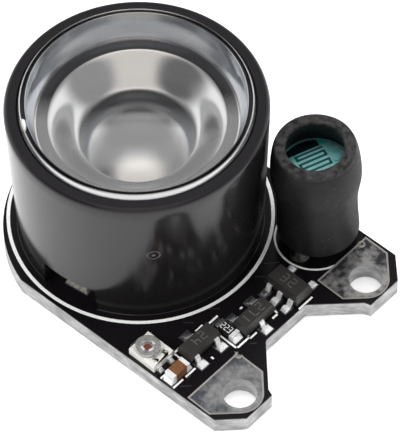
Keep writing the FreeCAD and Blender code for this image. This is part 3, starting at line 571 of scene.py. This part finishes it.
def sweep(loop, count):
    """Turned surface: the loop of pairs (r, z) at each angle a gives (r cos a, r sin a, z)."""
    r, z = np.asarray(loop, float).T
    angle = np.arange(count)[:, None] * 2 * math.pi / count
    return np.stack([r * np.cos(angle), r * np.sin(angle), z + 0 * angle], -1)


def bow(start, end, sag, count=14):
    """Curve from start to end that leaves its chord, on the right hand, by 4 sag t (1 - t)."""
    t = np.linspace(0, 1, count)[:, None]
    start, end = np.array(start, float), np.array(end, float)
    way = end - start
    right = np.array([way[1], -way[0]]) / np.hypot(*way)
    return start + way * t + right * sag * 4 * t * (1 - t)


def cap(edge_r, edge_z, top_z, count=20):
    """Round cap over the axis, from its edge to its top: z = edge + h - R + sqrt(R^2 - r^2), with
    R = (a^2 + h^2) / 2h for edge radius a and height h."""
    r = np.linspace(edge_r, 0, count)
    high = abs(top_z - edge_z)
    curve = (edge_r ** 2 + high ** 2) / (2 * high)
    bulge = high - curve + np.sqrt(curve ** 2 - r ** 2)
    return np.column_stack([r, edge_z + np.sign(top_z - edge_z) * bulge])


seat = rim - seat_deep
cavity_top, crown, cone_low = board_top + 6.9, board_top + 6.4, board_top + 2.35
crease_r, crease_z, dome_top = 3.85, 10.2, 11.25
bend = np.linspace(0, 1, 26)[:, None]
bowl = ((1 - bend) ** 3 * np.array([5.88, 11.88]) + 3 * (1 - bend) ** 2 * bend * np.array([5.32, 11.64])
        + 3 * (1 - bend) * bend ** 2 * np.array([4.44, 10.32]) + bend ** 3 * np.array([crease_r, crease_z]))
lens_ring = [(7.88, seat), (7.88, 13.65), (7.74, 13.96), (7.72, 13.985), (7.69, 14.0), (7.66, 13.98),
             (7.64, 13.9)]
groove = [(7.62, 13.5), (7.54, 13.5), (7.52, 13.87), (7.50, 13.9), (7.46, 13.87)]
lens_wall = [(7.36, 13.5), (7.26, 13.16), (7.14, 12.85), (7.0, 12.5), (6.9, 12.24), (6.82, 12.04),
             (6.77, 11.97), (6.7, 11.93), (5.93, 11.9)]
outline = np.concatenate([cap(2.95, cavity_top, crown)[::-1], [(3.1, cone_low)],
                          bow((3.6, cone_low), (7.0, seat), 0.3), lens_ring, groove, lens_wall, bowl,
                          cap(crease_r, crease_z, dome_top)[1:]])
# The groove widens towards the near side: its inner wall is moved in there.
steps = 256
glass = sweep(outline, steps)
turn = np.arange(steps) * 2 * math.pi / steps
near = 1 - np.clip(far_x * np.cos(turn) + far_y * np.sin(turn), 0, 1)
groove_side = np.clip((outline[:, 0] - 7.26) / 0.2, 0, 1) * (outline[:, 0] < 7.56) * (outline[:, 1] > 13.2)
glass[..., :2] *= 1 - (0.14 * near[:, None] * groove_side / np.maximum(outline[:, 0], 1))[..., None]
skin("lens_moulding", glass, quads(steps, len(outline), True, False), clear, "clear_lens",
     replaces=("lens",), sharp=12)

# Glue: a drop of white glue, set hard where it ran out between the lens and the tube. It holds the lens
# in the tube.
glue, tree, body = shader("white_glue", (0.78, 0.78, 0.76), 0.35)
lump = speckle(tree, 0.3)
feed(body, Base_Color=tint(tree, lump, (0.7, 0.7, 0.69), (0.88, 0.88, 0.87)))
relief(tree, lump, 0.02, body)
u = np.linspace(0, math.pi, 20)[:, None]
v = np.linspace(0, 2 * math.pi, 32, endpoint=False)
uneven = 1 + 0.10 * np.sin(3 * v + 1) * np.sin(u) + 0.06 * np.sin(5 * v) * np.sin(2 * u)
drop_turn, drop_r, drop_z = math.radians(236.0), 7.58, 13.68
turn = drop_turn + 0.5 * np.sin(u) * np.cos(v) * uneven / drop_r
out = drop_r + 0.17 * np.sin(u) * np.sin(v) * uneven
drop = np.stack([out * np.cos(turn), out * np.sin(turn), drop_z + 0.28 * np.cos(u) + 0 * v], -1)
skin("glue_drop", drop, quads(20, 32, False, True), glue, "glue", replaces=("lens_glue",))

# Emitter: a chip on a copper slug in a white moulded ring under a clear dome of soft resin. Two flat
# leads run out through the notches of the tube and are soldered to the board.
copper = grained("plated_copper", (0.75, 0.6, 0.45), (0.25, 0.4), 0.2, Metallic=1.0)
ease("emitter_slug", "led_slug", 0.05, copper)
white_ring = grained("white_moulding", (0.8, 0.79, 0.75), (0.45,), 0.2, 0.004)
ease("emitter_ring", "led_body", 0.06, white_ring)
dark_chip = grained("chip_face", (0.2, 0.17, 0.15), (0.2, 0.35), 0.15)
ease("emitter_chip", "led_die", 0.01, dark_chip)
soft_resin = shader("clear_dome", (0.97, 0.97, 0.95), 0.02, IOR=1.41, Transmission_Weight=1.0)[0]
dome_r, dome_foot, dome_waist = 2.8, board_top + 1.36, board_top + 1.9
arc = np.linspace(0, math.pi / 2, 30)
dome = np.concatenate([[(0, dome_foot), (dome_r - 0.01, dome_foot)],
                       np.column_stack([dome_r * np.cos(arc), dome_waist + dome_r * np.sin(arc)])])
skin("emitter_dome", sweep(dome, 96), quads(96, len(dome), True, False), soft_resin, "clear_lens",
     replaces=("led_dome",))
# The emitter's leads and solder are painted dim, as painted shade in the tube's notches.
lead_painted_shade = grained("lead_painted_shade", (0.30, 0.285, 0.25), (0.5,), 0.2, 0.02,
                    ((0.16, 0.15, 0.13), (0.36, 0.345, 0.31)), Metallic=0.3)
for name in ("led_lead_front", "led_lead_back"):
    ease("flat_" + name, name, 0.04, lead_painted_shade)

# Solder: bright tin that has run up each lead and terminal from its land, melted in one oven pass. Near the
# tube it is painted darker as a painted reflection of the dark tube; at the emitter and the sensor darker
# finishes stand for painted shade.
bright, tree, body = shader("tin_solder", (0.90, 0.90, 0.90), 0.2, Metallic=0.4)
grain = speckle(tree, 0.35)
# Painted reflection: solder near the tube is darker and more metallic.
painted_tube_reflection = between(tree, distance(tree, (0.0, 0.0, 0.0015)), 1.0, 0.0, 0.0108, 0.0113)
feed(body, Base_Color=tint(tree, painted_tube_reflection, (0.92, 0.92, 0.92), (0.30, 0.30, 0.31)),
     Metallic=total(tree, 0.35, product(tree, painted_tube_reflection, 0.55)), Roughness=between(tree, grain, 0.12, 0.34))
relief(tree, grain, 0.04, body)
ease("tin_led", "solder_led", 0.07, lead_painted_shade, segments=4)
shaded_tin = grained("shaded_tin", (0.07, 0.068, 0.06), (0.08, 0.25), 0.25, 0.08, Metallic=0.8)
ease("tin_photoresistor", "solder_photoresistor", 0.07, shaded_tin, segments=4)
for name in ("transistor_a", "transistor_b", "driver", "resistor", "capacitor", "trimmer"):
    ease("tin_" + name, "solder_" + name, 0.07, bright, soft=0.03)

# Light sensor: a ceramic disc with comb shaped metal films and a dark zigzag line of light sensitive
# coat between them. It stands in its sleeve on two soldered wires.
coated = grained("coated_ceramic", (0.12, 0.30, 0.31), (0.3,), 0.3, 0.004)
ease("sensor_disc", "photoresistor_body", 0.05, coated)
row_turn = math.radians(69.0)
film, tree, body = shader("teal_film", (0.02, 0.30, 0.32), 0.25)
cloud = speckle(tree, 0.5)
middle = (sensor_x / 1000, sensor_y / 1000, 0)
local = node(tree, "ShaderNodeMapping", {"Vector": here(tree), "Location": middle,
                                         "Rotation": (0, 0, row_turn)}, vector_type="TEXTURE").outputs[0]
across = node(tree, "ShaderNodeSeparateXYZ", [local]).outputs
# The back of the face is painted nearly black on its left, as a painted shadow of the sleeve, and teal on
# its right.
shaded = tint(tree, between(tree, across["X"], 1, 0, 0.00102, 0.00112), (0.03, 0.46, 0.40),
              (0.004, 0.012, 0.012))
pale_film = tint(tree, between(tree, cloud, 0, 1), (0.09, 0.34, 0.33), (0.22, 0.48, 0.47))
feed(body, Base_Color=tint(tree, between(tree, across["Y"], 0, 1, 0.00152, 0.00160), pale_film, shaded))
relief(tree, cloud, 0.006, body)

lean, lean_turn, face_high = math.radians(2.0), math.radians(223.0), 7.8


def lean_over(points):
    """Points about the sensor's own line, heights above the board, tipped about the middle of its face:
    the part p along the tip direction and the height h turn to p cos a + h sin a and h cos a - p sin a."""
    x, y, z = np.moveaxis(np.asarray(points, float), -1, 0)
    along = x * math.cos(lean_turn) + y * math.sin(lean_turn)
    above = z - face_high
    slide = along * (math.cos(lean) - 1) + above * math.sin(lean)
    return np.stack([x + slide * math.cos(lean_turn) + sensor_x, y + slide * math.sin(lean_turn) + sensor_y,
                     board_top + face_high + above * math.cos(lean) - along * math.sin(lean)], -1)


disc = sweep([(0, 7.79), (2.35, 7.79), (2.35, 7.83), (2.33, 7.84), (0, 7.84)], 96)
skin("sensor_films", lean_over(disc), quads(96, 5, True, False), film, "teal_film",
     replaces=("photoresistor_electrodes",))
dark = grained("dark_line", (0.018, 0.055, 0.062), (0.35,), 0.1, 0.003)
rows = [1.38, 1.06, 0.69, 0.31, -0.08, -0.47, -0.86, -1.25]
left_end, right_end = -0.82, 1.12
lines = [(left_end, row, right_end, row) for row in rows]
lines += [(end, above, end, below) for end, above, below in zip((left_end, right_end) * 4, rows, rows[1:])]
points, faces = strokes(lines, 0.17, face_high, face_high + 0.055)
points[:, :2] = points[:, :2] @ np.array([[math.cos(row_turn), math.sin(row_turn)],
                                          [-math.sin(row_turn), math.cos(row_turn)]])
skin("sensor_line", lean_over(points), faces, dark, "dark_track", replaces=("photoresistor_track",))
wire_metal, tree, body = shader("wire_end", (0.16, 0.42, 0.42), 0.35, Metallic=0.3)
grain = speckle(tree, 0.15)
height = node(tree, "ShaderNodeSeparateXYZ", [here(tree)]).outputs["Z"]
head = total(tree, between(tree, height, 0.0, 0.75, 0.0088, 0.0090), product(tree, grain, 0.25))
feed(body, Base_Color=tint(tree, head, (0.62, 0.62, 0.60), (0.13, 0.50, 0.49)))
relief(tree, grain, 0.01, body)
ease("sensor_wires", "photoresistor_leads", 0.03, wire_metal)

# Sleeve: black plastic tube shrunk over the sensor with hot air. It is matte, with a soft thick mouth,
# a rubbed rim and fine scratches, and keeps stray light off the disc.
shrunk, tree, body = shader("shrunk_sleeve", (0.012, 0.012, 0.013), 0.5, Specular_IOR_Level=0.20)
scratch = speckle(tree, 0.16, (0.35, 0.35, 1.6))
cloud = between(tree, speckle(tree, 1.5, detail=3.0, seed=5.0), 0, 1)
dust = between(tree, speckle(tree, 0.09, detail=2.0, seed=9.0), 0, 1, 0.72, 0.80)
height = node(tree, "ShaderNodeSeparateXYZ", [here(tree)]).outputs["Z"]
rubbed = product(tree, between(tree, height, 0, 1, 0.01135, 0.01155),
                 between(tree, speckle(tree, 0.35, detail=6.0, seed=2.0), 0.1, 1.0, 0.35, 0.65))
clouded = tint(tree, cloud, (0.005, 0.005, 0.006), (0.011, 0.011, 0.012))
dusty = tint(tree, dust, clouded, (0.30, 0.30, 0.29))
feed(body, Base_Color=tint(tree, rubbed, dusty, (0.048, 0.045, 0.044)),
     Roughness=between(tree, scratch, 0.40, 0.56))
relief(tree, scratch, 0.005, body)


def smooth_loop(loop, times):
    """Closed loop refined by corner cutting: each side gives points at 1/4 and 3/4 of its length."""
    for _ in range(times):
        after = np.roll(loop, -1, axis=0)
        loop = np.stack([0.75 * loop + 0.25 * after, 0.25 * loop + 0.75 * after], 1).reshape(-1, 2)
    return loop


outside = [(2.78, 1.55), (2.75, 2.3), (2.72, 3.4), (2.71, 4.6), (2.76, 5.4), (2.88, 6.3), (3.02, 7.1),
           (3.05, 7.6), (3.03, 8.3), (2.97, 9.0), (2.90, 9.5), (2.84, 9.85), (2.76, 10.1), (2.71, 10.2),
           (2.64, 10.24)]
mouth = [(2.5, 10.25), (2.25, 10.25), (2.02, 10.23), (1.94, 10.12), (1.91, 9.9), (1.98, 9.5), (2.2, 8.7),
         (2.48, 8.1)]
inside = [(2.55, 7.8), (2.55, 5.7), (2.42, 5.4), (2.34, 4.6), (2.36, 3.4), (2.40, 2.2), (2.42, 1.65),
          (2.55, 1.52), (2.75, 1.51)]
loop = smooth_loop(np.array(outside + mouth + inside)[::-1], 2)
steps = 128
turn = np.arange(steps) * 2 * math.pi / steps
jacket = sweep(loop, steps)
jacket[..., :2] *= (1 + 0.004 * np.sin(2 * turn + 0.6) + 0.002 * np.sin(5 * turn))[:, None, None]
skin("sensor_sleeve", lean_over(jacket), quads(steps, len(loop)), shrunk, "sleeve",
     replaces=("photoresistor_sleeve",), sharp=60)

# Transistors and driver: moulded black cases on bent tinned leads, soldered to their lands. Their plain
# numbers are burnt into the top.
case = grained("moulded_case", (0.027, 0.025, 0.024), (0.36, 0.55), 0.06, 0.006, detail=5.0)
lead_metal = grained("tinned_lead", (0.84, 0.84, 0.83), (0.22, 0.42), 0.2, 0.004, Metallic=0.45)
for name in ("transistor_a", "transistor_b", "driver"):
    ease(name + "_case", name + "_body", 0.05, case)
    ease(name + "_legs", name + "_leads", 0.03, lead_metal)

digit_bars = {"1": "bc", "2": "abged", "3": "abgcd", "4": "fgbc", "7": "abc"}
bar_ends = {"a": (0, 1, 1, 1), "b": (1, 1, 1, 0), "c": (1, 0, 1, -1), "d": (0, -1, 1, -1),
            "e": (0, 0, 0, -1), "f": (0, 1, 0, 0), "g": (0, 0, 1, 0)}


def number_on(name, number, middle, turn, wide, high, pitch, top, finish, line):
    """Plain number from straight bars, printed about the middle of a part's top and turned."""
    bars = np.array([bar_ends[bar] for digit in number for bar in digit_bars[digit]], float)
    shift = np.repeat([(k - (len(number) - 1) / 2) * pitch - wide / 2 for k in range(len(number))],
                      [len(digit_bars[digit]) for digit in number])
    x, y = bars[:, 0::2] * wide + shift[:, None], bars[:, 1::2] * high / 2
    turned_x = middle[0] + x * math.cos(turn) - y * math.sin(turn)
    turned_y = middle[1] + x * math.sin(turn) + y * math.cos(turn)
    lines = np.stack([turned_x[:, 0], turned_y[:, 0], turned_x[:, 1], turned_y[:, 1]], -1)
    skin(name, *strokes(lines, line, top - 0.01, top + 0.006, corners=4), finish, "black_case")


etched = grained("etched_number", (0.10, 0.085, 0.075), (0.6,), 0.10, 0.003,
                 ((0.045, 0.042, 0.040), (0.17, 0.155, 0.145)))
quarter, case_top, driver_top = math.pi / 2, board_top + 1.0, board_top + 1.1
number_on("transistor_a_number", "24", (10.37, -5.31), -quarter, 0.34, 0.62, 0.62, case_top, etched, 0.07)
number_on("transistor_b_number", "271", (11.63, -1.31), -quarter, 0.34, 0.62, 0.58, case_top, etched, 0.07)
number_on("driver_number", "32", (11.66, 2.1), 0.0, 0.36, 0.66, 0.66, driver_top, etched, 0.07)

# Resistor and capacitor: ceramic blocks between tinned caps that are soldered to their lands. The
# resistor has a black glass top with its white number.
glass_black = grained("black_glaze", (0.016, 0.016, 0.017), (0.15, 0.3), 0.1)
ease("resistor_block", "resistor_body", 0.03, glass_black)
glaze_top = board_top + 0.45
number_on("resistor_number", "223", (10.90, -3.2), 0.0, 0.17, 0.46, 0.31, glaze_top, white_print, 0.05)
brown = grained("brown_ceramic", (0.15, 0.062, 0.024), (0.36,), 0.12, 0.006,
                ((0.115, 0.047, 0.018), (0.20, 0.086, 0.034)), 5.0)
ease("capacitor_block", "capacitor_body", 0.05, brown)
for name in ("resistor", "capacitor"):
    ease(name + "_caps", name + "_ends", 0.05, bright)

# Trimmer: a pressed cream base with a metal plate, a rotor that a screwdriver turns over a floor of red
# resin, and three tinned terminals. The rotor's lip is bent up round its cross slot.
cream = grained("cream_ceramic", (0.76, 0.74, 0.70), (0.5,), 0.15, 0.01,
                ((0.62, 0.60, 0.56), (0.84, 0.83, 0.79)), 5.0)
ease("trimmer_block", "trimmer_base", 0.05, cream)
resin = grained("red_resin", (0.22, 0.07, 0.06), (0.35,), 0.1, 0.01)
ease("trimmer_floor", "trimmer_pivot", 0.01, resin)
stamped = grained("stamped_metal", (0.50, 0.50, 0.48), (0.2, 0.45), 0.14, 0.008, Metallic=0.6)
ease("trimmer_frame", "trimmer_plate", 0.02, stamped)
ease("trimmer_disc", "trimmer_rotor", 0.03, stamped, riding="rotor")
ease("trimmer_caps", "trimmer_terminals", 0.03, bright)
rotor_middle, slot_turn = (8.18, -7.95), 75.8
# The raised lip bands take the bright solder finish, lighter than the rotor, as painted highlights.
for lip in range(4):
    angle = np.radians(np.linspace(-24, 24, 10) + slot_turn + 90 * lip)
    arc_band("rotor_lip_%d" % lip, rotor_middle, angle, 0.34, 0.50, 2.15, 2.235, bright, "rotor_metal",
             "rotor")
# Dark strips on the base's top stand in for the shade in its recesses: painted shade.
recess_shade_strips = [(9.12, -8.40, 9.36, -8.20), (9.36, -8.20, 9.41, -8.36), (9.14, -7.62, 9.38, -7.50),
            (9.14, -7.62, 9.18, -7.40)]
cream_top = board_top + 0.6
skin("trimmer_recess_shade_strips", *strokes(recess_shade_strips, 0.10, cream_top - 0.01, cream_top + 0.004), glass_black,
     "cream_ceramic")
